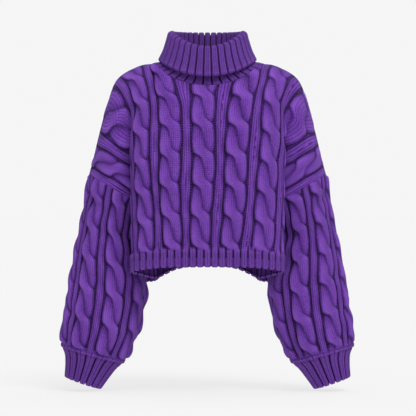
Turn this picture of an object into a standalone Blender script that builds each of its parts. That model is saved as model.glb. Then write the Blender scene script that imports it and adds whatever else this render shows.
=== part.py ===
"""Cropped cable-knit turtleneck sweater, filled out with no wearer.

Metres, +Z up, the front faces -Y. The origin is the base of the neck, where
the wearer's shoulders and neck hold the sweater. Every cloth surface is a grid
worked out along the knitted columns, then given its wall by Solidify.
"""

import bpy
import numpy as np

WALL = 0.003           # thickness of the knitted cloth
SEAM = 0.00035         # how far each piece is trimmed back at a seam
SHOULDER_SEAM = 0.0007  # the same at the shoulder seam, where the two walls lean together
BACK_NECK_SEAM = 0.0022  # the same at the back of the neck, where the collar's wall leans out
UNDERARM_GAP = 0.0045  # how far the sleeve starts from the body at the underarm
COLLAR_WALL = 0.004
COLUMNS = 4.5          # cable columns from the centre to the side seam
FOLD = 2.65            # the column on the body's front edge, where it turns back beside the sleeve
NECK_COLUMNS = 1.5     # columns that end on the neckline
NECK_SPREAD = 1.35     # above 1, the columns stand closer round the front of the neck
ARM_START = 2.2        # columns beyond this one go over the upper arm
RIB = 0.032            # height of the hem rib

# Level rings of the body from the hem up: height, half-width and depth of the
# front edge, depth at the centre, and the side seam.
FRONT_RINGS = (
    # z,     edge_x, edge_y, centre_y, side_x, side_y
    (-0.480, 0.166, -0.054, -0.119, 0.106, 0.020),
    (-0.400, 0.167, -0.056, -0.123, 0.112, 0.022),
    (-0.320, 0.168, -0.058, -0.127, 0.123, 0.024),
    (-0.200, 0.169, -0.058, -0.127, 0.130, 0.024),
    (-0.100, 0.166, -0.050, -0.112, 0.132, 0.022),
    (-0.040, 0.160, -0.040, -0.094, 0.132, 0.020),
)
BACK_RINGS = (
    (-0.480, 0.136, 0.088, 0.122, 0.106, 0.020),
    (-0.400, 0.142, 0.096, 0.130, 0.112, 0.022),
    (-0.320, 0.148, 0.104, 0.138, 0.123, 0.024),
    (-0.200, 0.154, 0.106, 0.140, 0.130, 0.024),
    (-0.100, 0.156, 0.096, 0.126, 0.132, 0.022),
    (-0.040, 0.158, 0.078, 0.104, 0.132, 0.020),
)
# The shoulder seam, from the side of the neck out to the top of the armhole:
# where each column of both panels ends.
SHOULDER_LINE = (
    # column, x,    y,      z
    (1.5, 0.1225, -0.0055, 0.001),
    (2.0, 0.160, 0.004, -0.005),
    (2.5, 0.200, 0.011, -0.032),
    (3.0, 0.226, 0.016, -0.092),
    (3.5, 0.242, 0.020, -0.150),
    (4.0, 0.253, 0.023, -0.196),
    (4.5, 0.264, 0.026, -0.237),
)
# The height at which each column leaves the body for the shoulder or the upper
# arm, and how far the cloth arches out on the way from there to its end.
FRONT_ARCH = (
    # column, leave_z, arch
    (0.0, -0.085, 0.003),
    (1.0, -0.085, 0.007),
    (1.5, -0.085, 0.016),
    (2.0, -0.088, 0.022),
    (2.5, -0.100, 0.028),
    (3.0, -0.160, 0.040),
    (3.5, -0.222, 0.052),
    (4.0, -0.272, 0.064),
    (4.5, -0.318, 0.075),
)
BACK_ARCH = (
    (0.0, -0.070, 0.010),
    (1.0, -0.074, 0.013),
    (1.5, -0.085, 0.018),
    (2.0, -0.088, 0.024),
    (2.5, -0.100, 0.030),
    (3.0, -0.160, 0.042),
    (3.5, -0.222, 0.054),
    (4.0, -0.272, 0.064),
    (4.5, -0.318, 0.075),
)
# Height of the top of the hem rib across the body.
FRONT_HEM = ((0.0, -0.404), (1.5, -0.407), (2.65, -0.420), (3.5, -0.432), (4.5, -0.428))
BACK_HEM = ((0.0, -0.406), (1.2, -0.417), (1.7, -0.431), (2.2, -0.440), (2.65, -0.442), (3.5, -0.438), (4.5, -0.428))

# Rings down the sleeve, armhole first: centre, tilt of the ring, half-widths.
SLEEVE_RINGS = (
    # down, x,     y,     z,      tilt, half_x, half_y
    (0.00, 0.1935, 0.025, -0.2775, 30.0, 0.0812, 0.075),
    (0.16, 0.2080, 0.029, -0.335, 20.0, 0.070, 0.074),
    (0.36, 0.2165, 0.033, -0.405, 6.0, 0.076, 0.079),
    (0.56, 0.2200, 0.034, -0.470, 4.0, 0.085, 0.084),
    (0.74, 0.2285, 0.035, -0.530, 7.0, 0.086, 0.084),
    (0.90, 0.2420, 0.035, -0.594, 12.0, 0.081, 0.077),
    (1.00, 0.2545, 0.034, -0.632, 15.0, 0.070, 0.064),
)
CUFF_RINGS = (
    (0.00, 0.2545, 0.034, -0.632, 15.0, 0.070, 0.064),
    (0.30, 0.2600, 0.034, -0.650, 16.5, 0.058, 0.054),
    (0.62, 0.2670, 0.034, -0.671, 18.0, 0.049, 0.047),
    (1.00, 0.2770, 0.034, -0.698, 19.0, 0.0425, 0.041),
)
# The collar from the neck seam up the stand, over the roll and down the fall.
# Each row is a ring: half-widths, depth of its centre, and its height at the
# front, the sides and the back.
COLLAR_RINGS = (
    # along, half_x, half_y, centre_y, front_z, side_z, back_z
    (0.00, 0.1225, 0.0775, -0.0055, -0.0430, 0.0010, 0.0125),
    (0.12, 0.1040, 0.0745, -0.0030, -0.0320, 0.0040, 0.0180),
    (0.30, 0.0800, 0.0690, 0.0010, -0.0060, 0.0270, 0.0400),
    (0.48, 0.0745, 0.0680, 0.0050, 0.0240, 0.0630, 0.0680),
    (0.56, 0.0770, 0.0710, 0.0060, 0.0350, 0.0765, 0.0800),
    (0.62, 0.0840, 0.0770, 0.0060, 0.0330, 0.0745, 0.0780),
    (0.72, 0.0890, 0.0820, 0.0045, 0.0180, 0.0600, 0.0640),
    (0.86, 0.0965, 0.0860, 0.0010, -0.0030, 0.0370, 0.0440),
    (1.00, 0.1060, 0.0910, -0.0020, -0.0230, 0.0165, 0.0270),
)

KNIT = (0.155, 0.045, 0.33)
PATH_POINTS = 240      # fine points along one column, before it is cut into rows
ARM_ROWS = 10          # rows over the upper arm, and faces along half the armhole
BODY_ROWS = 6
CROWD = 1.25           # how much closer the rows stand towards the shoulder seam
NECK_FACES = 8         # faces along a quarter of the neckline


def across(table, at, column):
    """One named column of a table at any place along its first column, smoothly."""
    rows = np.array(table, float)
    place = np.clip(np.asarray(at, float), rows[0, 0], rows[-1, 0])
    i = np.clip(np.searchsorted(rows[:, 0], place, side="right") - 1, 0, len(rows) - 2)
    slope = np.gradient(rows[:, column], rows[:, 0])
    step = rows[i + 1, 0] - rows[i, 0]
    u = (place - rows[i, 0]) / step
    start, end = rows[i, column], rows[i + 1, column]
    return (
        start * (1 + 2 * u) * (1 - u) ** 2
        + slope[i] * step * u * (1 - u) ** 2
        + end * u * u * (3 - 2 * u)
        + slope[i + 1] * step * u * u * (u - 1)
    )


def smooth_step(low, high, value):
    u = np.clip((value - low) / (high - low), 0, 1)
    return u * u * (3 - 2 * u)


def quarter(share, power):
    """A point a share of the way along a rounded quarter, from straight ahead to the side."""
    angle = np.linspace(0, np.pi / 2, 200)
    x = np.sin(angle) ** (2 / power)
    y = np.cos(angle) ** (2 / power)
    along = np.concatenate([[0], np.cumsum(np.hypot(np.diff(x), 0.45 * np.diff(y)))])
    along /= along[-1]
    return np.interp(share, along, x), np.interp(share, along, y)


def body_point(rings, column, z):
    """Where a column of knitting lies on the body's ring at a height."""
    edge_x, edge_y, centre_y, side_x, side_y = (across(rings, z, k) for k in range(1, 6))
    x, y = quarter(np.clip(column / FOLD, 0, 1), 2.5)
    front = np.array([edge_x * x, edge_y + (centre_y - edge_y) * y])
    turn = np.clip((column - FOLD) / (COLUMNS - FOLD), 0, 1)
    side = np.array([side_x + (edge_x - side_x) * (1 - turn) ** 2.5, edge_y + (side_y - edge_y) * turn])
    return front if column <= FOLD else side


def softened(path, reach, keep):
    """The path with its corners eased over a length, its ends kept."""
    step = np.linalg.norm(np.diff(path, axis=0), axis=1).mean()
    half = max(int(reach / step), 1)
    weights = np.hanning(2 * half + 3)[1:-1]
    weights /= weights.sum()
    ends = np.concatenate([2 * path[0] - path[half:0:-1], path, 2 * path[-1] - path[-2 : -half - 2 : -1]])
    eased = np.stack([np.convolve(ends[:, k], weights, "valid") for k in range(3)], axis=1)
    return path * keep + eased * (1 - keep)


def path_length(path):
    return np.concatenate([[0], np.cumsum(np.linalg.norm(np.diff(path, axis=0), axis=1))])


def evenly(path, count, lower=0.0, upper=0.0, crowd=1.0):
    """The path, less what is trimmed off its ends, as so many points, closer towards its end if crowded."""
    length = path_length(path)
    at = lower + (length[-1] - upper - lower) * (1 - (1 - np.linspace(0, 1, count)) ** crowd)
    return np.stack([np.interp(at, length, path[:, k]) for k in range(3)], axis=1)


def upper_edge(facing, column):
    """Where a column ends: on the neckline, which is the collar's own base, or on the shoulder seam."""
    if column > NECK_COLUMNS:
        return np.array([across(SHOULDER_LINE, column, k) for k in (1, 2, 3)])
    angle = (column / NECK_COLUMNS) ** NECK_SPREAD * np.pi / 2
    return collar_ring(0.0, np.array([angle if facing < 0 else np.pi - angle]))[0]


def column_path(rings, arches, hem, column):
    """One column of knitting on the +X half, from the top of the hem rib to the panel's upper edge."""
    facing = np.sign(rings[0][3])
    top = upper_edge(facing, column)
    leave_z, arch = across(arches, column, 1), across(arches, column, 2)
    heights = np.linspace(across(hem, column, 1), leave_z, 90)
    body = np.array([(*body_point(rings, column, z), z) for z in heights])
    s = np.linspace(0, 1, 90)[:, None]
    over_arm = smooth_step(ARM_START, COLUMNS, column)
    share = np.sin(np.pi / 2 * s) * (1 - over_arm) + over_arm * (1 - np.cos(np.pi * s)) / 2
    lift = np.array([0.5 * np.sin(np.pi * over_arm), 0, 0.5 * (1 - over_arm)])
    arm = body[-1] + (top - body[-1]) * share + np.sin(np.pi * s) * arch * ((0, facing, 0) + (1 - s) * lift)
    body_share = path_length(body)[-1] / (path_length(body)[-1] + path_length(arm)[-1])
    turn = int(round(PATH_POINTS * body_share))
    path = np.concatenate([evenly(body, turn + 1), evenly(arm, PATH_POINTS - turn)[1:]])
    return softened(path, 0.034, smooth_step(3.9, COLUMNS, column)), turn


def panel_column(rings, arches, hem, column, body_rows, arm_rows):
    """A column's points: so many up the body, then so many over the upper arm."""
    path, turn = column_path(rings, arches, hem, column)
    lower = evenly(path[: turn + 1], body_rows + 1, SEAM, 0)
    is_back = rings[0][3] > 0
    trim = BACK_NECK_SEAM if is_back and column < NECK_COLUMNS else SHOULDER_SEAM
    upper = evenly(path[turn:], arm_rows + 1, 0, trim, CROWD)
    return np.concatenate([lower, upper[1:]])


def hem_column(rings, hem, column):
    """The hem rib below one column, from the panel down."""
    heights = across(hem, column, 1) - np.linspace(SEAM, RIB, 2)
    return np.array([(*body_point(rings, column, z), z) for z in heights])


def both_halves(half):
    """The +X half of a panel and its mirror image, as one grid."""
    half = np.array(half)
    return np.concatenate([half[:0:-1] * (-1, 1, 1), half])


def armhole(rings, arches, hem, count):
    """Half of the armhole seam, from the underarm to the shoulder, on one panel's edge."""
    path, turn = column_path(rings, arches, hem, COLUMNS)
    return evenly(path[turn:], count + 1, crowd=CROWD)


def ring(row, angles):
    """A tilted ring of a sleeve or cuff, from the outer side round by the front."""
    x, y, z, tilt, half_x, half_y = row
    out, up = np.cos(np.radians(tilt)), np.sin(np.radians(tilt))
    return np.stack([
        x + out * half_x * np.cos(angles),
        y - half_y * np.sin(angles),
        z + up * half_x * np.cos(angles),
    ], axis=-1)


def rings_between(table, angles, down):
    return np.array([ring([across(table, d, k) for k in range(1, 7)], angles) for d in down])


def sleeve_grid(around, down):
    """The sleeve, hung from the armhole seam and eased into its own rings below it."""
    angles = np.linspace(0, 2 * np.pi, 2 * around + 1)[:-1]
    front = armhole(FRONT_RINGS, FRONT_ARCH, FRONT_HEM, around)[::-1]
    back = armhole(BACK_RINGS, BACK_ARCH, BACK_HEM, around)
    seam = np.concatenate([front[:-1], back[:-1]])
    seam[:, 0] += UNDERARM_GAP * np.clip(-np.cos(angles), 0, 1) ** 3
    grid = rings_between(SLEEVE_RINGS, angles, down)
    fade = (1 - smooth_step(0.0, 0.3, down))[:, None, None]
    return grid + fade * (seam - ring(SLEEVE_RINGS[0][1:], angles))


def collar_ring(along, angles):
    """One ring of the collar, from the centre front round by +X."""
    half_x, half_y, centre_y, front_z, side_z, back_z = (across(COLLAR_RINGS, along, k) for k in range(1, 7))
    ahead = np.cos(angles)
    z = side_z + np.where(ahead > 0, front_z - side_z, back_z - side_z) * np.abs(ahead) ** 1.7
    return np.stack([half_x * np.sin(angles), centre_y - half_y * ahead, z], axis=-1)


def knit_material(name, shade):
    material = bpy.data.materials.new(name)
    material.use_nodes = True
    shader = material.node_tree.nodes["Principled BSDF"]
    shader.inputs["Base Color"].default_value = (*(c * shade for c in KNIT), 1)
    shader.inputs["Roughness"].default_value = 0.9
    shader.inputs["Metallic"].default_value = 0.0
    material.diffuse_color = (*(c * shade for c in KNIT), 1)
    return material


def cloth_object(name, grid, closed, wall, outward, material, collection):
    """An open grid of points, the middle of the cloth, made a solid wall."""
    rows, count = grid.shape[:2]
    faces = []
    for i in range(rows - 1):
        for j in range(count if closed else count - 1):
            k = (j + 1) % count
            faces.append((i * count + j, i * count + k, (i + 1) * count + k, (i + 1) * count + j))
    if not outward:
        faces = [face[::-1] for face in faces]
    mesh = bpy.data.meshes.new(name)
    mesh.from_pydata([tuple(p) for p in grid.reshape(-1, 3)], [], faces)
    mesh.update()
    mesh.shade_smooth()
    mesh.materials.append(material)
    made = bpy.data.objects.new(name, mesh)
    collection.objects.link(made)
    solid = made.modifiers.new("Wall", "SOLIDIFY")
    solid.thickness = wall
    solid.offset = 0
    solid.use_even_offset = False
    return made


def main():
    for old in list(bpy.data.objects):
        bpy.data.objects.remove(old)
    parts = bpy.data.collections.new("Cropped knit sweater")
    bpy.context.scene.collection.children.link(parts)
    body = knit_material("Cable knit", 1.0)
    rib = knit_material("Rib knit", 0.9)
    half = np.concatenate([
        NECK_COLUMNS * np.linspace(0, 1, NECK_FACES + 1) ** (1 / NECK_SPREAD),
        np.linspace(1.85, 2.2, 2),
        np.linspace(2.45, 3.15, 5),
        np.linspace(3.6, COLUMNS - SEAM / 0.06, 3),
    ])
    sides = (
        ("front", FRONT_RINGS, FRONT_ARCH, FRONT_HEM, True),
        ("back", BACK_RINGS, BACK_ARCH, BACK_HEM, False),
    )
    for name, rings, arches, hem, is_front in sides:
        panel = both_halves([panel_column(rings, arches, hem, c, BODY_ROWS, ARM_ROWS) for c in half])
        cloth_object(name + "_panel", panel, False, WALL, not is_front, body, parts)
        band = both_halves([hem_column(rings, hem, c) for c in half])
        cloth_object("hem_rib_" + name, band, False, WALL, is_front, rib, parts)
    down = np.concatenate([[0.0015], np.linspace(0.08, 0.9, 8), [0.999]])
    angles = np.linspace(0, 2 * np.pi, 2 * ARM_ROWS + 1)[:-1]
    for name, side in (("left", -1), ("right", 1)):
        sleeve = sleeve_grid(ARM_ROWS, down) * (side, 1, 1)
        cloth_object("sleeve_" + name, sleeve, True, WALL, side < 0, body, parts)
        cuff = rings_between(CUFF_RINGS, angles, np.array([0.004, 0.3, 0.62, 1])) * (side, 1, 1)
        cloth_object("cuff_" + name, cuff, True, WALL, side < 0, rib, parts)
    angles = np.linspace(0, 2 * np.pi, 4 * NECK_FACES + 1)[:-1]
    along = np.array([0.010, 0.12, 0.24, 0.36, 0.48, 0.56, 0.62, 0.72, 0.86, 1])
    collar = np.array([collar_ring(a, angles) for a in along])
    cloth_object("collar", collar, True, COLLAR_WALL, True, rib, parts)


main()
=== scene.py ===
import bpy
import math
import numpy as np
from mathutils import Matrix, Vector


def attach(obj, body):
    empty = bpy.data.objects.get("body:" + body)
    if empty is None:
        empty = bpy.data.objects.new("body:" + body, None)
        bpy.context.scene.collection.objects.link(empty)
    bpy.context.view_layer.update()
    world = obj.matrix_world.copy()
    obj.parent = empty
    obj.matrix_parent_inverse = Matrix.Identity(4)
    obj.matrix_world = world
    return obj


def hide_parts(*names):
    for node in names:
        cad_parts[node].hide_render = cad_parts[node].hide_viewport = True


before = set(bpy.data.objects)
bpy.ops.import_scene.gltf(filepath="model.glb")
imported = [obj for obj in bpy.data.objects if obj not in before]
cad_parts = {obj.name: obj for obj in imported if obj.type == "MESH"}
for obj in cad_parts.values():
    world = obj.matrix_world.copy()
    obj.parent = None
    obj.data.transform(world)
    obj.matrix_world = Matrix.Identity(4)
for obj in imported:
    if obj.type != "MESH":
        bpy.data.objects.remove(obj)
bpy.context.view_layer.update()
print("frame loaded:", len(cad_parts), "nodes")

# The worn shape, in metres: +Z up, front at -Y, origin at the base of the neck.
form = {
    "columns": 4.5,        # cable columns from the centre to the side seam
    "fold": 2.65,          # the column on the body's front edge
    "armStart": 2.2,       # columns beyond this one go over the upper arm
    "neckColumns": 1.5,    # columns that end on the neckline
    "neckSpread": 1.35,
    "ribDepth": 0.032,     # height of the hem rib
    "underarmGap": 0.0045,
    "ease": 0.034,         # how far a column's corner is eased
}
# z, edge x, edge y, centre y, side x, side y
frontRings = (
    (-0.480, 0.166, -0.054, -0.119, 0.106, 0.020),
    (-0.400, 0.167, -0.056, -0.123, 0.112, 0.022),
    (-0.320, 0.168, -0.058, -0.127, 0.123, 0.024),
    (-0.200, 0.169, -0.058, -0.127, 0.130, 0.024),
    (-0.100, 0.166, -0.050, -0.112, 0.132, 0.022),
    (-0.040, 0.160, -0.040, -0.094, 0.132, 0.020),
)
backRings = (
    (-0.480, 0.136, 0.088, 0.122, 0.106, 0.020),
    (-0.400, 0.142, 0.096, 0.130, 0.112, 0.022),
    (-0.320, 0.148, 0.104, 0.138, 0.123, 0.024),
    (-0.200, 0.154, 0.106, 0.140, 0.130, 0.024),
    (-0.100, 0.156, 0.096, 0.126, 0.132, 0.022),
    (-0.040, 0.158, 0.078, 0.104, 0.132, 0.020),
)
# column, x, y, z of the shoulder seam
shoulderLine = (
    (1.5, 0.1225, -0.0055, 0.0075),
    (1.75, 0.141, -0.001, 0.0060),
    (2.0, 0.160, 0.004, 0.0000),
    (2.5, 0.203, 0.011, -0.029),
    (3.0, 0.226, 0.016, -0.092),
    (3.5, 0.242, 0.020, -0.150),
    (4.0, 0.253, 0.023, -0.196),
    (4.5, 0.264, 0.026, -0.237),
)
# column, height where it leaves the body, arch over the arm
frontArch = (
    (0.0, -0.085, 0.003),
    (1.0, -0.085, 0.007),
    (1.5, -0.085, 0.016),
    (2.0, -0.088, 0.022),
    (2.5, -0.100, 0.028),
    (3.0, -0.160, 0.040),
    (3.5, -0.222, 0.052),
    (4.0, -0.272, 0.064),
    (4.5, -0.318, 0.075),
)
backArch = (
    (0.0, -0.070, 0.010),
    (1.0, -0.074, 0.013),
    (1.5, -0.085, 0.018),
    (2.0, -0.088, 0.024),
    (2.5, -0.100, 0.030),
    (3.0, -0.160, 0.042),
    (3.5, -0.222, 0.054),
    (4.0, -0.272, 0.064),
    (4.5, -0.318, 0.075),
)
# column, height of the top of the hem rib
frontHem = ((0.0, -0.404), (1.5, -0.407), (2.65, -0.420), (3.5, -0.432), (4.5, -0.428))
backHem = (
    (0.0, -0.406), (1.2, -0.417), (1.7, -0.431), (2.2, -0.440),
    (2.65, -0.442), (3.5, -0.438), (4.5, -0.428),
)
# share of the way down, centre x y z, tilt, half widths across and deep
sleeveRings = (
    (0.00, 0.1935, 0.025, -0.2775, 30.0, 0.0812, 0.075),
    (0.16, 0.2080, 0.029, -0.335, 20.0, 0.070, 0.074),
    (0.36, 0.2165, 0.033, -0.405, 6.0, 0.076, 0.079),
    (0.56, 0.2200, 0.034, -0.470, 4.0, 0.085, 0.084),
    (0.74, 0.2285, 0.035, -0.530, 7.0, 0.086, 0.084),
    (0.90, 0.2430, 0.035, -0.594, 12.0, 0.083, 0.077),
    (1.00, 0.2550, 0.034, -0.632, 15.0, 0.0735, 0.064),
)
cuffRings = (
    (0.00, 0.2550, 0.034, -0.632, 15.0, 0.0735, 0.064),
    (0.30, 0.2600, 0.034, -0.650, 16.5, 0.058, 0.054),
    (0.62, 0.2670, 0.034, -0.671, 18.0, 0.049, 0.047),
    (1.00, 0.2770, 0.034, -0.698, 19.0, 0.0405, 0.039),
)
# share of the way along, half width, half depth, centre y, height at front, side, back
collarRings = (
    (0.00, 0.1225, 0.0775, -0.0055, -0.0430, 0.0075, 0.0125),
    (0.12, 0.1040, 0.0745, -0.0030, -0.0320, 0.0095, 0.0180),
    (0.30, 0.0800, 0.0690, 0.0010, -0.0060, 0.0270, 0.0400),
    (0.48, 0.0745, 0.0680, 0.0050, 0.0285, 0.0650, 0.0690),
    (0.56, 0.0770, 0.0710, 0.0060, 0.0405, 0.0785, 0.0800),
    (0.62, 0.0840, 0.0770, 0.0060, 0.0385, 0.0765, 0.0780),
    (0.72, 0.0890, 0.0820, 0.0045, 0.0225, 0.0620, 0.0640),
    (0.86, 0.0965, 0.0860, 0.0010, 0.0010, 0.0380, 0.0440),
    (1.00, 0.1060, 0.0910, -0.0020, -0.0195, 0.0180, 0.0270),
)


def across(table, at, column):
    rows = np.array(table, float)
    place = np.clip(np.asarray(at, float), rows[0, 0], rows[-1, 0])
    i = np.clip(np.searchsorted(rows[:, 0], place, side="right") - 1, 0, len(rows) - 2)
    slope = np.gradient(rows[:, column], rows[:, 0])
    step = rows[i + 1, 0] - rows[i, 0]
    u = (place - rows[i, 0]) / step
    return (
        rows[i, column] * (1 + 2 * u) * (1 - u) ** 2
        + slope[i] * step * u * (1 - u) ** 2
        + rows[i + 1, column] * u * u * (3 - 2 * u)
        + slope[i + 1] * step * u * u * (u - 1)
    )


def smoothStep(low, high, value):
    u = np.clip((value - low) / (high - low), 0, 1)
    return u * u * (3 - 2 * u)


def quarterCurve(power=2.5):
    angle = np.linspace(0, np.pi / 2, 400)
    x, y = np.sin(angle) ** (2 / power), np.cos(angle) ** (2 / power)
    along = np.concatenate([[0], np.cumsum(np.hypot(np.diff(x), 0.45 * np.diff(y)))])
    return along / along[-1], x, y


quarter = quarterCurve()


def bodyPoints(rings, column, z):
    # where a column lies on the body's rings, for an array of heights
    edgeX, edgeY, centreY, sideX, sideY = (across(rings, z, k) for k in range(1, 6))
    if column <= form["fold"]:
        share = column / form["fold"]
        x, y = np.interp(share, quarter[0], quarter[1]), np.interp(share, quarter[0], quarter[2])
        return np.stack([edgeX * x, edgeY + (centreY - edgeY) * y, z], axis=-1)
    turn = (column - form["fold"]) / (form["columns"] - form["fold"])
    x = sideX + (edgeX - sideX) * (1 - turn) ** 2.5
    return np.stack([x, edgeY + (sideY - edgeY) * turn, z], axis=-1)


def pathLength(path):
    return np.concatenate([[0], np.cumsum(np.linalg.norm(np.diff(path, axis=0), axis=1))])


def readAt(path, at):
    length = pathLength(path)
    return np.stack([np.interp(at, length, path[:, k]) for k in range(3)], axis=1)


def evenly(path, count):
    return readAt(path, np.linspace(0, pathLength(path)[-1], count))


def softened(path, reach, keep):
    step = np.linalg.norm(np.diff(path, axis=0), axis=1).mean()
    half = max(int(reach / step), 1)
    weights = np.hanning(2 * half + 3)[1:-1]
    weights /= weights.sum()
    before, after = 2 * path[0] - path[half:0:-1], 2 * path[-1] - path[-2 : -half - 2 : -1]
    wide = np.concatenate([before, path, after])
    eased = np.stack([np.convolve(wide[:, k], weights, "valid") for k in range(3)], axis=1)
    return path * keep + eased * (1 - keep)


def collarRing(along, angles):
    read = [across(collarRings, along, k) for k in range(1, 7)]
    halfX, halfY, centreY, frontZ, sideZ, backZ = read
    ahead = np.cos(angles)
    z = sideZ + np.where(ahead > 0, frontZ - sideZ, backZ - sideZ) * np.abs(ahead) ** 1.7
    return np.stack([halfX * np.sin(angles), centreY - halfY * ahead, z], axis=-1)


def upperEdge(facing, column):
    if column > form["neckColumns"]:
        return np.array([across(shoulderLine, column, k) for k in (1, 2, 3)])
    angle = (column / form["neckColumns"]) ** form["neckSpread"] * np.pi / 2
    return collarRing(0.0, np.array([angle if facing < 0 else np.pi - angle]))[0]


def columnPath(rings, arches, hem, column):
    # one column of knitting on the +X half, from the hem rib to the panel's upper edge
    facing = np.sign(rings[0][3])
    top = upperEdge(facing, column)
    leaveZ, arch = across(arches, column, 1), across(arches, column, 2)
    body = bodyPoints(rings, column, np.linspace(across(hem, column, 1), leaveZ, 90))
    s = np.linspace(0, 1, 90)[:, None]
    overArm = smoothStep(form["armStart"], form["columns"], column)
    share = np.sin(np.pi / 2 * s) * (1 - overArm) + overArm * (1 - np.cos(np.pi * s)) / 2
    lift = np.array([0.5 * np.sin(np.pi * overArm), 0, 0.5 * (1 - overArm)])
    bulge = np.sin(np.pi * s) * arch * ((0, facing, 0) + (1 - s) * lift)
    arm = body[-1] + (top - body[-1]) * share + bulge
    bodyShare = pathLength(body)[-1] / (pathLength(body)[-1] + pathLength(arm)[-1])
    turn = int(round(240 * bodyShare))
    path = np.concatenate([evenly(body, turn + 1), evenly(arm, 240 - turn)[1:]])
    return softened(path, form["ease"], smoothStep(3.9, form["columns"], column)), turn


def tiltedRing(row, angles):
    x, y, z, tilt, halfX, halfY = row
    out, up = np.cos(np.radians(tilt)), np.sin(np.radians(tilt))
    return np.stack([
        x + out * halfX * np.cos(angles),
        y - halfY * np.sin(angles),
        z + up * halfX * np.cos(angles),
    ], axis=-1)


def ringsBetween(table, angles, down):
    return np.array([tiltedRing([across(table, d, k) for k in range(1, 7)], angles) for d in down])


knit = {
    "pitch": 0.070,        # one cable and one rib column
    "strandAt": 0.142,     # the next ones in shares of the pitch, from the cable's middle
    "strandHalf": 0.185,
    "gutter": 0.368,
    "wale": 0.0625,
    "course": 0.0040,      # height of one stitch, in metres
    "cross": 0.0663,       # from one cable crossing to the next
    "firstCross": -0.020,
    "square": 1.8,         # how quickly a strand crosses over
    "strandRise": 0.0058,
    "twistRise": 0.0027,
    "tuck": 0.0015,
    "ribRise": 0.0026,
    "gutterDrop": 0.0020,
    "purl": 0.0010,
    "purlEvery": 0.0056,
    "paintedHoleShade": 0.0016,
}


def softMax(a, b, soft):
    gap = np.clip(0.5 + 0.5 * (a - b) / soft, 0, 1)
    return a * gap + b * (1 - gap) + soft * gap * (1 - gap)


def strandAt(u, s, phase, which):
    # one strand of a rope: how far it stands proud, and how far across it the point lies
    turn = np.pi * (s - phase) / knit["cross"] + which * np.pi
    k, reach = knit["square"], knit["strandAt"] / np.tanh(knit["square"])
    middle = reach * np.tanh(k * np.cos(turn))
    slope = reach * k * np.sin(turn) / np.cosh(k * np.cos(turn)) ** 2 * np.pi / knit["cross"]
    offset = (u - middle) / np.sqrt(1 + (slope * knit["pitch"]) ** 2)
    aside = np.abs(offset) / knit["strandHalf"]
    dome = knit["strandRise"] * np.clip(1 - aside ** 2, 0, 1) ** 0.42
    fall = np.clip(aside - 1, 0, None) * knit["strandHalf"] * knit["pitch"] * 2
    twist = knit["twistRise"] * (np.sin(turn) - 0.35 * np.sin(2 * turn))
    tuck = knit["tuck"] * np.clip(np.sin(turn), 0, 1) * offset / knit["strandHalf"]
    return dome - fall + twist - tuck, offset


def cablePattern(p, s, phase):
    # height of the knitting over the cloth's ground, its wale and course numbers, the relief that sets
    # the painted shade, and how strong the groove between wales is
    u = p - np.round(p)
    first, firstOffset = strandAt(u, s, phase, 0)
    second, secondOffset = strandAt(u, s, phase, 1)
    strand = softMax(first, second, 0.0012)
    onFirst = first >= second
    offset = np.where(onFirst, firstOffset, secondOffset)
    fromRib = (0.5 - np.abs(u)) / (0.5 - knit["gutter"])
    rib = (knit["ribRise"] + knit["gutterDrop"]) * np.clip(1 - fromRib ** 4, 0, 1) ** 0.5
    bead = np.cos(2 * np.pi * s / knit["purlEvery"])
    low = rib - knit["gutterDrop"] + knit["purl"] * bead * (fromRib > 0.9)
    height = softMax(strand, low, 0.0005)
    # a purl stitch stands between two holes in every gutter, drawn only as painted shade: they go into
    # the relief that darkens the colour, not into the height
    paintedHoleShade = knit["paintedHoleShade"] * bead * (fromRib > 0.88) * (strand < low)
    ofStrand = offset / knit["wale"] + np.where(onFirst, 0.5, 7.5)
    wale = np.where(strand > low, ofStrand, p / knit["wale"])
    # how deep the groove between wales is, in the bump and in its painted shade: fainter on the cable
    # strands
    grooveBumpAndShade = np.where(strand > low, 0.55, 1.0)
    return height, wale, s / knit["course"], height + paintedHoleShade, grooveBumpAndShade


def ribPattern(p, rise, drop):
    # broad round ribs with narrow grooves between them; p counts ribs
    u = np.abs(p - np.floor(p) - 0.5) * 2
    return rise * np.clip(1 - u ** 5, 0, 1) ** 0.5 - drop * smoothStep(0.68, 0.88, u)


def gridNormals(grid, closed):
    if closed:
        sideways = np.roll(grid, -1, axis=1) - np.roll(grid, 1, axis=1)
    else:
        sideways = np.gradient(grid, axis=1)
    along = np.gradient(grid, axis=0)
    normal = np.cross(sideways, along)
    return normal / np.maximum(np.linalg.norm(normal, axis=2, keepdims=True), 1e-9)


def blurred(field, size, closed):
    # a cheap box blur, twice each way
    out = field
    for _ in range(2):
        for axis in (0, 1):
            if axis == 1 and closed:
                turned = [np.roll(out, k, axis=1) for k in range(-size, size + 1)]
                out = sum(turned) / (2 * size + 1)
            else:
                pad = [(0, 0), (0, 0)]
                pad[axis] = (size, size)
                wide = np.pad(out, pad, mode="edge")
                sums = np.cumsum(np.insert(wide, 0, 0, axis=axis), axis=axis)
                at = np.arange(out.shape[axis])
                most = np.take(sums, at + 2 * size + 1, axis=axis)
                out = (most - np.take(sums, at, axis=axis)) / (2 * size + 1)
    return out


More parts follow.
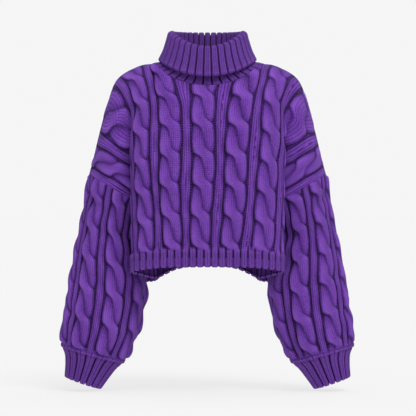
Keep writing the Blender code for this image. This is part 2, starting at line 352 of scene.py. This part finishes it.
def clothPiece(name, grid, height, wale, course, closed, material, outward=1, relief=None,
               grooveBumpAndShade=1.0):
    # the grid moved out by the knitting's height, with its stitch numbers and the painted shade for how
    # hollow each point lies
    normal = gridNormals(grid, closed) * outward
    placed = grid + normal * height[..., None]
    rows, count = grid.shape[:2]
    last = count if closed else count - 1
    i, j = np.meshgrid(np.arange(rows - 1) * count, np.arange(last), indexing="ij")
    k = (j + 1) % count
    quads = np.stack([i + j, i + k, i + count + k, i + count + j], axis=-1).reshape(-1, 4)
    if outward < 0:
        quads = quads[:, ::-1]
    mesh = bpy.data.meshes.new(name)
    mesh.vertices.add(rows * count)
    mesh.vertices.foreach_set("co", placed.reshape(-1).astype(np.float32))
    mesh.loops.add(quads.size)
    mesh.loops.foreach_set("vertex_index", quads.reshape(-1).astype(np.int32))
    mesh.polygons.add(len(quads))
    mesh.polygons.foreach_set("loop_start", np.arange(0, quads.size, 4, dtype=np.int32))
    mesh.update(calc_edges=True)
    mesh.shade_smooth()
    stitches = np.stack([wale, course], axis=-1).reshape(-1, 2)
    uv = mesh.uv_layers.new(name="stitches")
    uv.data.foreach_set("uv", stitches[quads.reshape(-1)].astype(np.float32).reshape(-1))
    # relief here only sets painted shade: the colour is darker where the relief lies below its blurred
    # self, lighter where it stands proud
    relief = height if relief is None else relief
    hollowPaintedShade = np.clip((blurred(relief, 4, closed) - relief) / 0.0034, -1, 1)
    shade = mesh.attributes.new("hollowPaintedShade", "FLOAT", "POINT")
    shade.data.foreach_set("value", hollowPaintedShade.reshape(-1).astype(np.float32))
    # strength of the groove between wales, for its bump and its painted shade
    grooveBumpAndShadeAttribute = mesh.attributes.new("grooveBumpAndShade", "FLOAT", "POINT")
    strength = (np.ones_like(height) * grooveBumpAndShade).reshape(-1)
    grooveBumpAndShadeAttribute.data.foreach_set("value", strength.astype(np.float32))
    mesh.materials.append(material)
    piece = bpy.data.objects.new(name, mesh)
    bpy.context.scene.collection.objects.link(piece)
    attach(piece, "root")
    return piece


yarn = {
    # tones of one yarn: painted shade pulls the colour towards deep, painted light on ridges and stitch
    # legs pulls it towards light and the top tone, and the heather and drift noise move it as the yarn's
    # own tone
    "deep": (0.009, 0.0012, 0.030),
    "main": (0.082, 0.0150, 0.232),
    "light": (0.160, 0.041, 0.405),
    "fleckAndPaintedLight": (0.270, 0.095, 0.590),
    "roughness": 0.85,
    # the rib yarn is the same yarn painted darker: painted shade for the rib bands, whose deep grooves
    # hold shade
    "ribPaintedShade": 0.68,
    "stitchBump": 0.0021,
    "fuzzBump": 0.0005,
    "sheen": 0.08,
    "sheenRoughness": 0.45,
    "sheenTint": (0.62, 0.42, 0.95),
    "specular": 0.25,
    "fuzzScale": 900,
    "heatherScale": 330,   # flecks of lighter and darker fibre
    "heather": 0.55,
    "driftScale": 14,      # slow change of shade over the cloth
    "drift": 0.25,
    "paintedHollowShade": 0.55,   # how much painted shade darkens the hollows, and painted light brightens the ridges
}


def link(tree, a, b):
    tree.links.new(a, b)


def mathNode(tree, operation, a, b=None, c=None):
    node = tree.nodes.new("ShaderNodeMath")
    node.operation = operation
    for socket, value in zip(node.inputs, (a, b, c)):
        if value is None:
            continue
        if isinstance(value, (int, float)):
            socket.default_value = value
        else:
            tree.links.new(value, socket)
    return node.outputs[0]


def yarnMaterial(name, ribbed):
    # painted shade: the rib pieces get a darker copy of the yarn
    shade = yarn["ribPaintedShade"] if ribbed else 1.0
    tones = {k: (*(shade * c for c in yarn[k]), 1) for k in ("deep", "main", "light", "fleckAndPaintedLight")}
    material = bpy.data.materials.new(name)
    material.use_nodes = True
    tree = material.node_tree
    shader = tree.nodes["Principled BSDF"]
    shader.inputs["Roughness"].default_value = yarn["roughness"]
    shader.inputs["Sheen Weight"].default_value = yarn["sheen"]
    shader.inputs["Sheen Roughness"].default_value = yarn["sheenRoughness"]
    shader.inputs["Sheen Tint"].default_value = (*yarn["sheenTint"], 1)
    shader.inputs["Specular IOR Level"].default_value = yarn["specular"]

    coords = tree.nodes.new("ShaderNodeTexCoord")
    uv = tree.nodes.new("ShaderNodeUVMap")
    uv.uv_map = "stitches"
    parts = tree.nodes.new("ShaderNodeSeparateXYZ")
    link(tree, uv.outputs[0], parts.inputs[0])
    # a knit stitch is a V: two legs that lean out from the middle of the wale
    inWale = mathNode(tree, "SUBTRACT", mathNode(tree, "FRACT", parts.outputs[0]), 0.5)
    inWale = mathNode(tree, "ABSOLUTE", inWale)
    grooveBumpAndShadeAttribute = tree.nodes.new("ShaderNodeAttribute")
    grooveBumpAndShadeAttribute.attribute_name = "grooveBumpAndShade"
    groove = mathNode(tree, "POWER", mathNode(tree, "MULTIPLY", inWale, 2), 3.2)
    edge = mathNode(tree, "SUBTRACT", 1.0, mathNode(tree, "MULTIPLY", groove, grooveBumpAndShadeAttribute.outputs["Fac"]))
    leg = mathNode(tree, "SINE", mathNode(tree, "MULTIPLY", inWale, 2 * math.pi))
    leg = mathNode(tree, "MULTIPLY_ADD", leg, 0.3, 0.7)
    phase = mathNode(tree, "SUBTRACT", parts.outputs[1], mathNode(tree, "MULTIPLY", inWale, 1.4))
    wave = mathNode(tree, "ABSOLUTE", mathNode(tree, "SINE", mathNode(tree, "MULTIPLY", phase, math.pi)))
    wave = mathNode(tree, "MULTIPLY_ADD", mathNode(tree, "POWER", wave, 0.7), 0.55, 0.45)
    # the stitch pattern bumps the surface and also paints shade into the colour: darker in the grooves
    # between wales, at the sides of each leg and between courses
    stitchBumpAndShade = mathNode(tree, "MULTIPLY", mathNode(tree, "MULTIPLY", edge, leg), wave)

    fuzz = tree.nodes.new("ShaderNodeTexNoise")
    fuzz.inputs["Scale"].default_value = yarn["fuzzScale"]
    fuzz.inputs["Detail"].default_value = 3
    link(tree, coords.outputs["Object"], fuzz.inputs["Vector"])
    heather = tree.nodes.new("ShaderNodeTexNoise")
    heather.inputs["Scale"].default_value = yarn["heatherScale"]
    heather.inputs["Detail"].default_value = 2
    link(tree, coords.outputs["Object"], heather.inputs["Vector"])
    drift = tree.nodes.new("ShaderNodeTexNoise")
    drift.inputs["Scale"].default_value = yarn["driftScale"]
    link(tree, coords.outputs["Object"], drift.inputs["Vector"])

    # painted shade in the hollows and painted light on the ridges, taken off the colour
    hollowPaintedShade = tree.nodes.new("ShaderNodeAttribute")
    hollowPaintedShade.attribute_name = "hollowPaintedShade"
    depth = mathNode(tree, "MULTIPLY", hollowPaintedShade.outputs["Fac"], yarn["paintedHollowShade"])
    depth = mathNode(tree, "ADD", depth, 0.5)
    # painted shade and light: the stitch pattern's grooves and the hollows darken the colour
    lit = mathNode(tree, "SUBTRACT", mathNode(tree, "MULTIPLY_ADD", stitchBumpAndShade, 0.85, 0.52), depth)
    for noise, share in ((heather, yarn["heather"]), (drift, yarn["drift"])):
        spread = mathNode(tree, "SUBTRACT", noise.outputs["Fac"], 0.5)
        lit = mathNode(tree, "MULTIPLY_ADD", spread, share, lit)
    # the ramp turns painted shade, painted light and the yarn's own heather into colour
    ramp = tree.nodes.new("ShaderNodeValToRGB")
    ramp.color_ramp.elements[0].position = 0.0
    ramp.color_ramp.elements[0].color = tones["deep"]
    ramp.color_ramp.elements[1].position = 1.0
    ramp.color_ramp.elements[1].color = tones["fleckAndPaintedLight"]
    ramp.color_ramp.elements.new(0.36).color = tones["main"]
    ramp.color_ramp.elements.new(0.70).color = tones["light"]
    link(tree, lit, ramp.inputs[0])
    link(tree, ramp.outputs[0], shader.inputs["Base Color"])

    relief = mathNode(tree, "ADD", mathNode(tree, "MULTIPLY", stitchBumpAndShade, yarn["stitchBump"]),
                      mathNode(tree, "MULTIPLY", fuzz.outputs["Fac"], yarn["fuzzBump"]))
    bump = tree.nodes.new("ShaderNodeBump")
    bump.inputs["Strength"].default_value = 1.0
    bump.inputs["Distance"].default_value = 1.0
    link(tree, relief, bump.inputs["Height"])
    link(tree, bump.outputs[0], shader.inputs["Normal"])
    return material


cableYarn = yarnMaterial("Cable knit yarn", False)
shadedRibYarn = yarnMaterial("Rib knit yarn with painted shade", True)


# across and up in metres, direction in degrees, half length, half width, depth
folds = {
    "front": (
        (-0.150, 0.235, 58, 0.060, 0.013, 0.0040),
        (0.152, 0.225, -60, 0.060, 0.014, 0.0040),
        (-0.115, 0.075, 72, 0.050, 0.012, 0.0024),
        (0.128, 0.060, -66, 0.050, 0.012, 0.0024),
        (-0.168, 0.385, 86, 0.016, 0.0035, 0.0022),
        (-0.155, 0.388, 90, 0.016, 0.0035, 0.0022),
        (0.160, 0.388, 90, 0.016, 0.0035, 0.0022),
        (0.173, 0.385, 94, 0.016, 0.0035, 0.0022),
        (-0.225, 0.330, 70, 0.050, 0.012, 0.0034),
        (0.228, 0.325, -70, 0.050, 0.012, 0.0034),
    ),
    "back": (
        (-0.055, 0.200, 74, 0.080, 0.016, 0.0042),
        (0.085, 0.165, -70, 0.075, 0.016, 0.0040),
        (-0.140, 0.110, 62, 0.060, 0.013, 0.0034),
        (0.165, 0.240, -58, 0.060, 0.013, 0.0040),
        (-0.170, 0.265, 60, 0.055, 0.013, 0.0040),
        (0.010, 0.330, 8, 0.050, 0.012, 0.0026),
    ),
    "sleeve": (
        (0.060, 0.050, 20, 0.050, 0.012, 0.0040),
        (0.150, 0.085, 160, 0.060, 0.013, 0.0045),
        (0.190, 0.150, 12, 0.060, 0.013, 0.0045),
        (0.090, 0.215, 168, 0.055, 0.014, 0.0036),
        (0.320, 0.120, 18, 0.070, 0.014, 0.0042),
        (0.400, 0.235, 165, 0.060, 0.014, 0.0040),
        (0.020, 0.300, 14, 0.050, 0.012, 0.0034),
        (0.250, 0.305, 170, 0.055, 0.012, 0.0036),
    ),
}


def softFolds(table, x, y):
    total = np.zeros(np.broadcast(x, y).shape)
    for x0, y0, angle, length, width, depth in table:
        ax, ay = math.cos(math.radians(angle)), math.sin(math.radians(angle))
        along = (x - x0) * ax + (y - y0) * ay
        aside = ((x - x0) * -ay + (y - y0) * ax) / width
        fade = depth * np.exp(-((along / length) ** 2))
        total -= fade * (np.exp(-(aside ** 2)) - 0.45 * np.exp(-((np.abs(aside) - 2.2) ** 2)))
    return total


panels = {
    "front": {"rings": frontRings, "arches": frontArch, "hem": frontHem, "across": 364, "up": 262,
              "flat": (0.60, 0.46), "area": 0.255},
    "back": {"rings": backRings, "arches": backArch, "hem": backHem, "across": 300, "up": 224,
             "flat": (0.60, 0.47), "area": 0.262},
}
hemRib = {
    "spacing": 0.0158, "rows": 34, "tuck": 0.0040,
    "rise": 0.0046, "drop": 0.0024, "turnIn": 0.016, "edge": 0.0022,
    "flat": {"front": (0.62, 0.062), "back": (0.54, 0.062)},
}
# how much of the relief is lost over the arm, on the shoulder and under the arm, and how far it sinks
flatter = {"overArm": 0.42, "onShoulder": 0.72, "underArm": 0.6, "sunk": 0.0015, "sunkOverArm": 0.0015}
# form column, pattern column: rib columns stand at every half
patternAtHem = (
    (-4.5, -4.5), (-3.35, -3.5), (-2.16, -2.5), (-1.40, -1.5), (-0.60, -0.5),
    (0.24, 0.5), (1.09, 1.5), (2.06, 2.5), (3.30, 3.5), (4.5, 4.5),
)
patternAtTop = (
    (-4.5, -4.64), (-3.60, -3.5), (-2.50, -2.5), (-1.66, -1.5), (-0.60, -0.5),
    (0.46, 0.5), (1.60, 1.5), (2.50, 2.5), (3.60, 3.5), (4.5, 4.64),
)


def panelGrid(kind):
    made = panels[kind]
    half = np.linspace(0, form["columns"], made["across"] // 2 + 1)
    rightHalf, lengths = [], []
    for column in half:
        path, turn = columnPath(made["rings"], made["arches"], made["hem"], column)
        lengths.append(pathLength(path)[-1])
        rightHalf.append(evenly(path, made["up"]))
    rightHalf = np.array(rightHalf)
    grid = np.concatenate([rightHalf[:0:-1] * (-1, 1, 1), rightHalf])
    columns = np.concatenate([-half[:0:-1], half])
    lengths = np.concatenate([lengths[:0:-1], lengths])
    up = np.linspace(0, 1, made["up"])
    return np.swapaxes(grid, 0, 1), columns, up[:, None] * lengths[None, :]


def edgeFade(distance, reach):
    return smoothStep(0, reach, distance)


def hemRibsAt(kind, columns):
    # the hem's rib count along its own length, the same for the rib and for the panel's lower edge
    made = panels[kind]
    half = np.linspace(0, form["columns"], 400)
    line = np.array([bodyPoints(made["rings"], c, across(made["hem"], c, 1)) for c in half])
    length = pathLength(line)
    ribs = round(length[-1] / hemRib["spacing"])
    return np.sign(columns) * np.interp(np.abs(columns), half, length) / length[-1] * ribs + 0.5


def buildPanel(kind):
    grid, columns, s = panelGrid(kind)
    up = s / s[-1]
    mirrored = 1 if kind == "front" else -1
    atHem = across(patternAtHem, columns * mirrored, 1)[None, :]
    atTop = across(patternAtTop, columns * mirrored, 1)[None, :]
    p = atHem + (atTop - atHem) * up
    phase = knit["firstCross"] - 0.011 * smoothStep(1, 2, np.abs(np.round(p)))
    sway = 0.022 * np.sin(9 * s / 0.33 + 2.1 * np.round(p)) + 0.012 * np.sin(23 * s + 1.3 * p)
    height, wale, course, relief, grooveBumpAndShade = cablePattern(p + sway, s, phase)
    overArm = smoothStep(2.3, 3.2, np.abs(columns)) * smoothStep(0.3, 0.6, up)
    onShoulder = smoothStep(1.5, 1.8, np.abs(p)) * smoothStep(0.70, 0.95, up)
    underArm = smoothStep(2.45, 2.75, np.abs(p)) * (1 - smoothStep(0.45, 0.62, up))
    height = height * (1 - flatter["underArm"] * underArm) * (1 - flatter["overArm"] * overArm)
    height = height * (1 - flatter["onShoulder"] * onShoulder * (1 - overArm))
    height = height - flatter["sunk"] - flatter["sunkOverArm"] * overArm
    height = height + softFolds(folds[kind], p * knit["pitch"], s)
    ends = edgeFade(s[-1] - s, 0.007) * edgeFade((form["columns"] - np.abs(columns)) * 0.06, 0.004)
    height = height * ends
    rib = ribPattern(hemRibsAt(kind, columns), hemRib["rise"], hemRib["drop"])[None, :]
    runs = smoothStep(-0.004, 0.012, s + 0.004 * np.sin(2 * np.pi * p + 0.8))
    height = rib * (1 - runs) + height * runs
    # this relief only sets the painted shade in the colour
    relief = rib * (1 - runs) + relief * runs
    outward = 1 if kind == "front" else -1
    piece = clothPiece(kind + "Panel", grid, height, wale, course, False, cableYarn, outward,
                       relief, grooveBumpAndShade)
    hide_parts(kind + "_panel")
    return piece


frontPanel = buildPanel("front")
backPanel = buildPanel("back")
print("front and back knitted")

def rolledRows(depth, made):
    # from behind the cloth above, down the rib, then round its lower edge and a little way up inside:
    # the distances down and in
    tucked = np.array([-0.006, -0.004, -0.002])
    straight = np.linspace(0, depth, made["rows"])
    turn, r = np.linspace(0, np.pi, 9)[1:], made["edge"]
    inside = np.linspace(depth, depth - made["turnIn"], 8)[1:]
    down = np.concatenate([tucked, straight, depth + r * np.sin(turn), inside])
    inward = np.concatenate([np.array([1, 0.8, 0.5]) * made["tuck"], 0 * straight,
                             r * (1 - np.cos(turn)), np.full(7, 2 * r)])
    return down, inward


def buildHem(kind):
    made = panels[kind]
    half = np.linspace(0, form["columns"], 217)
    down, inward = rolledRows(form["ribDepth"], hemRib)
    rightHalf = []
    for column in half:
        z = across(made["hem"], column, 1) - down
        rightHalf.append(bodyPoints(made["rings"], column, z))
    rightHalf = np.array(rightHalf)
    grid = np.swapaxes(np.concatenate([rightHalf[:0:-1] * (-1, 1, 1), rightHalf]), 0, 1)
    columns = np.concatenate([-half[:0:-1], half])
    outward = 1 if kind == "front" else -1
    normal = gridNormals(grid[::-1], False)[::-1] * outward
    grid = grid - normal * inward[:, None, None]
    p = hemRibsAt(kind, columns)
    outside = 1 - 0.85 * smoothStep(0, 2 * hemRib["edge"], inward)[:, None]
    outside = outside * smoothStep(-0.004, 0.0, down)[:, None]
    rib = ribPattern(p[None, :] + 0 * down[:, None], hemRib["rise"], hemRib["drop"])
    height = rib * outside
    wale = p[None, :] * 2 + 0 * down[:, None]
    course = down[:, None] / knit["course"] + 0 * p[None, :]
    # the grid runs downwards, so its faces are turned the other way from the panel's
    piece = clothPiece(kind + "HemRib", grid, height, wale, course, False, shadedRibYarn, -outward,
                       None, 0.4)
    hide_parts("hem_rib_" + kind)
    return piece


frontHemRib = buildHem("front")
backHemRib = buildHem("back")
print("hem ribs knitted")

sleeve = {
    "around": 288, "down": 216, "columns": 8,
    "ribAt": {"left": (26, 41), "right": (26, 42)},   # degrees round, at the armhole and the cuff
    "phase": {"left": -0.026, "right": -0.012},
    "sunk": 0.003, "flat": (0.54, 0.40), "area": 0.19,
}
cuff = {
    "around": 252, "ribs": 18, "rows": 40, "tuck": 0.0010,
    "rise": 0.0040, "drop": 0.0020, "turnIn": 0.014, "edge": 0.0022,
    "length": 0.070, "seamAt": 0.0045, "seamHalf": 0.0038, "seamRise": 0.0042,
    "axis": (0.32, 0.0, -0.95),   # the way the +X cuff points
    "flat": (0.34, 0.095),
}


def armholeHalf(kind, count):
    made = panels[kind]
    path, turn = columnPath(made["rings"], made["arches"], made["hem"], form["columns"])
    return evenly(path[turn:], count + 1)


def buildSleeve(name, side):
    angles = np.linspace(0, 2 * np.pi, sleeve["around"] + 1)[:-1]
    seam = np.concatenate([armholeHalf("front", sleeve["around"] // 2)[::-1][:-1],
                           armholeHalf("back", sleeve["around"] // 2)[:-1]])
    seam[:, 0] += form["underarmGap"] * np.clip(-np.cos(angles), 0, 1) ** 3
    down = np.linspace(0, 1, sleeve["down"])
    grid = ringsBetween(sleeveRings, angles, down)
    fade = (1 - smoothStep(0.0, 0.3, down))[:, None, None]
    grid = (grid + fade * (seam - tiltedRing(sleeveRings[0][1:], angles))) * (side, 1, 1)
    steps = np.linalg.norm(np.diff(grid, axis=0), axis=2)
    s = np.concatenate([np.zeros((1, grid.shape[1])), np.cumsum(steps, axis=0)])
    atTop, atCuff = sleeve["ribAt"][name]
    ribAt = atTop + (atCuff - atTop) * down[:, None]
    p = ((np.degrees(angles)[None, :] - ribAt) / 360 * sleeve["columns"] + 0.5) * -side
    height, wale, course, relief, grooveBumpAndShade = cablePattern(p, s[-1] - s, sleeve["phase"][name])
    height = height - sleeve["sunk"] + softFolds(folds["sleeve"], angles[None, :] / (2 * np.pi) * 0.48, s)
    ends = edgeFade(s, 0.006) * edgeFade(s[-1] - s, 0.008)
    height = height * ends
    piece = clothPiece("sleeve" + name.capitalize(), grid, height, wale, course, True, cableYarn, side,
                       relief, grooveBumpAndShade)
    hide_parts("sleeve_" + name)
    return piece


def buildCuff(name, side):
    angles = np.linspace(0, 2 * np.pi, cuff["around"] + 1)[:-1]
    length = cuff["length"]
    down, inward = rolledRows(length, cuff)
    share = np.clip(down / length, 0, 1)
    grid = ringsBetween(cuffRings, angles, share)
    axis = np.array(cuff["axis"])
    grid = grid + axis * (down - np.clip(down, 0, length))[:, None, None]
    grid = grid * (side, 1, 1)
    plain = ringsBetween(cuffRings, angles, np.linspace(0, 1, 20)) * (side, 1, 1)
    base = gridNormals(plain, True)[-1] * side
    normal = np.where((inward > 0)[:, None, None], base[None], 0)
    grid = grid - normal * inward[:, None, None]
    p = angles / (2 * np.pi) * cuff["ribs"]
    rib = ribPattern(p[None, :] + 0 * down[:, None], cuff["rise"], cuff["drop"])
    outside = 1 - 0.85 * smoothStep(0, 2 * cuff["edge"], inward)[:, None]
    height = rib * outside * (0.1 + 0.9 * smoothStep(0.005, 0.014, down))[:, None]
    fromRidge = (down - cuff["seamAt"]) / cuff["seamHalf"]
    seamRidge = cuff["seamRise"] * np.exp(-(fromRidge ** 2))[:, None]
    height = height + seamRidge * (0.8 + 0.2 * np.cos(angles * cuff["ribs"] * 3))
    wale = p[None, :] * 2 + 0 * down[:, None]
    course = down[:, None] / knit["course"] + 0 * p[None, :]
    piece = clothPiece("cuff" + name.capitalize(), grid, height, wale, course, True, shadedRibYarn, side,
                       None, 0.4)
    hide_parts("cuff_" + name)
    return piece


sleeves = [buildSleeve("left", -1), buildSleeve("right", 1)]
cuffs = [buildCuff("left", -1), buildCuff("right", 1)]
print("sleeves and cuffs knitted")

collar = {
    "around": 576, "rows": 118, "ribs": 36,
    "rise": 0.0056, "drop": 0.0024, "sunk": 0.0026, "edge": 0.0032, "turnIn": 0.03,
    "flat": (0.57, 0.30),
}


def buildCollar():
    angles = np.linspace(0, 2 * np.pi, collar["around"] + 1)[:-1]
    along = np.linspace(0, 1, collar["rows"])
    grid = np.array([collarRing(a, angles) for a in along])
    edge = collar["edge"]
    turn = np.linspace(0, np.pi, 9)[1:]
    last, before = grid[-1], grid[-3]
    direction = (last - before) / np.linalg.norm(last - before, axis=1, keepdims=True)
    normal = gridNormals(grid, True)[-1]
    bend = turn[:, None, None]
    rolled = last + edge * (direction * np.sin(bend) + normal * (1 - np.cos(bend)))
    under = np.array([rolled[-1] - direction * d for d in np.linspace(0, collar["turnIn"], 9)[1:]])
    full = np.concatenate([grid, rolled, under])
    s = np.concatenate([[0], np.cumsum(np.linalg.norm(np.diff(full[:, 0], axis=0), axis=1))])
    p = angles / (2 * np.pi) * collar["ribs"] + 0.5
    rib = ribPattern(p[None, :] + 0 * s[:, None], collar["rise"], collar["drop"])
    # the rib stands out of the cloth's other face once the collar is inside, where it later folds over
    fading = -np.concatenate([np.linspace(0.9, 0.1, len(rolled)), np.full(len(under), 0.1)])
    strength = np.concatenate([1 - 2 * smoothStep(0.15, 0.26, along), fading])
    height = (rib - collar["sunk"]) * strength[:, None] * (0.4 + 0.6 * smoothStep(0, 0.006, s))[:, None]
    wale = p[None, :] * 3 + 0 * s[:, None]
    course = s[:, None] / knit["course"] + 0 * p[None, :]
    # the relief passed here only sets the painted shade in the colour
    piece = clothPiece("collarRib", full, height, wale, course, True, shadedRibYarn, 1,
                       np.abs(strength)[:, None] * rib, 0.4)
    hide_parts("collar")
    return piece


collarRib = buildCollar()
print("collar knitted")

studio = {
    "floorZ": -0.720,
    "ambient": 0.36,
    "backdrop": (0.915, 0.915, 0.915),
    "floorSize": 160,
    "floorShade": (0.15, 0.15, 0.15),
    "floorGlow": 0.745,
    # name, place, strength, how wide it looks in degrees
    "lamps": (
        ("keyLight", (0.8, -1.7, 2.2), 2.05, 28),
        ("topLight", (0.2, 0.5, 2.4), 0.80, 50),
        ("fillLight", (-1.7, -2.2, 0.4), 0.35, 60),
    ),
    "aimAt": (0, 0, -0.3),
    "sensor": 36,
    "cameraZ": -0.312,
    "cameraFar": 5.5,
    "wide": 0.915,
    "aimX": 0.0011,
}


def buildStudio():
    pale = bpy.data.materials.new("Studio floor")
    pale.use_nodes = True
    shader = pale.node_tree.nodes["Principled BSDF"]
    shader.inputs["Base Color"].default_value = (*studio["floorShade"], 1)
    shader.inputs["Emission Color"].default_value = (1, 1, 1, 1)
    shader.inputs["Emission Strength"].default_value = studio["floorGlow"]
    shader.inputs["Roughness"].default_value = 0.95
    shader.inputs["Specular IOR Level"].default_value = 0.0
    bpy.ops.mesh.primitive_plane_add(size=studio["floorSize"], location=(0, 0, studio["floorZ"]))
    floor = bpy.context.object
    floor.name = "studioFloor"
    floor.data.materials.append(pale)
    # the world lights softly and looks as pale as the floor
    world = bpy.data.worlds.new("Studio")
    bpy.context.scene.world = world
    world.use_nodes = True
    tree = world.node_tree
    soft = tree.nodes["Background"]
    soft.inputs[0].default_value = (1, 1, 1, 1)
    soft.inputs[1].default_value = studio["ambient"]
    seen = tree.nodes.new("ShaderNodeBackground")
    seen.inputs[0].default_value = (*studio["backdrop"], 1)
    path = tree.nodes.new("ShaderNodeLightPath")
    mix = tree.nodes.new("ShaderNodeMixShader")
    link(tree, path.outputs["Is Camera Ray"], mix.inputs[0])
    link(tree, soft.outputs[0], mix.inputs[1])
    link(tree, seen.outputs[0], mix.inputs[2])
    link(tree, mix.outputs[0], tree.nodes["World Output"].inputs[0])
    for name, place, strength, spread in studio["lamps"]:
        data = bpy.data.lights.new(name, "SUN")
        data.energy = strength
        data.angle = math.radians(spread)
        lamp = bpy.data.objects.new(name, data)
        lamp.location = place
        aim = Vector(studio["aimAt"]) - Vector(place)
        lamp.rotation_euler = aim.to_track_quat("-Z", "Y").to_euler()
        bpy.context.scene.collection.objects.link(lamp)
    data = bpy.data.cameras.new("studioCamera")
    data.sensor_width = studio["sensor"]
    data.lens = studio["sensor"] * studio["cameraFar"] / studio["wide"]
    camera = bpy.data.objects.new("studioCamera", data)
    camera.location = (studio["aimX"], -studio["cameraFar"] - 0.05, studio["cameraZ"])
    camera.rotation_euler = (math.pi / 2, 0, 0)
    bpy.context.scene.collection.objects.link(camera)
    bpy.context.scene.camera = camera
    bpy.context.scene.view_settings.view_transform = "Standard"


buildStudio()
print("studio ready")
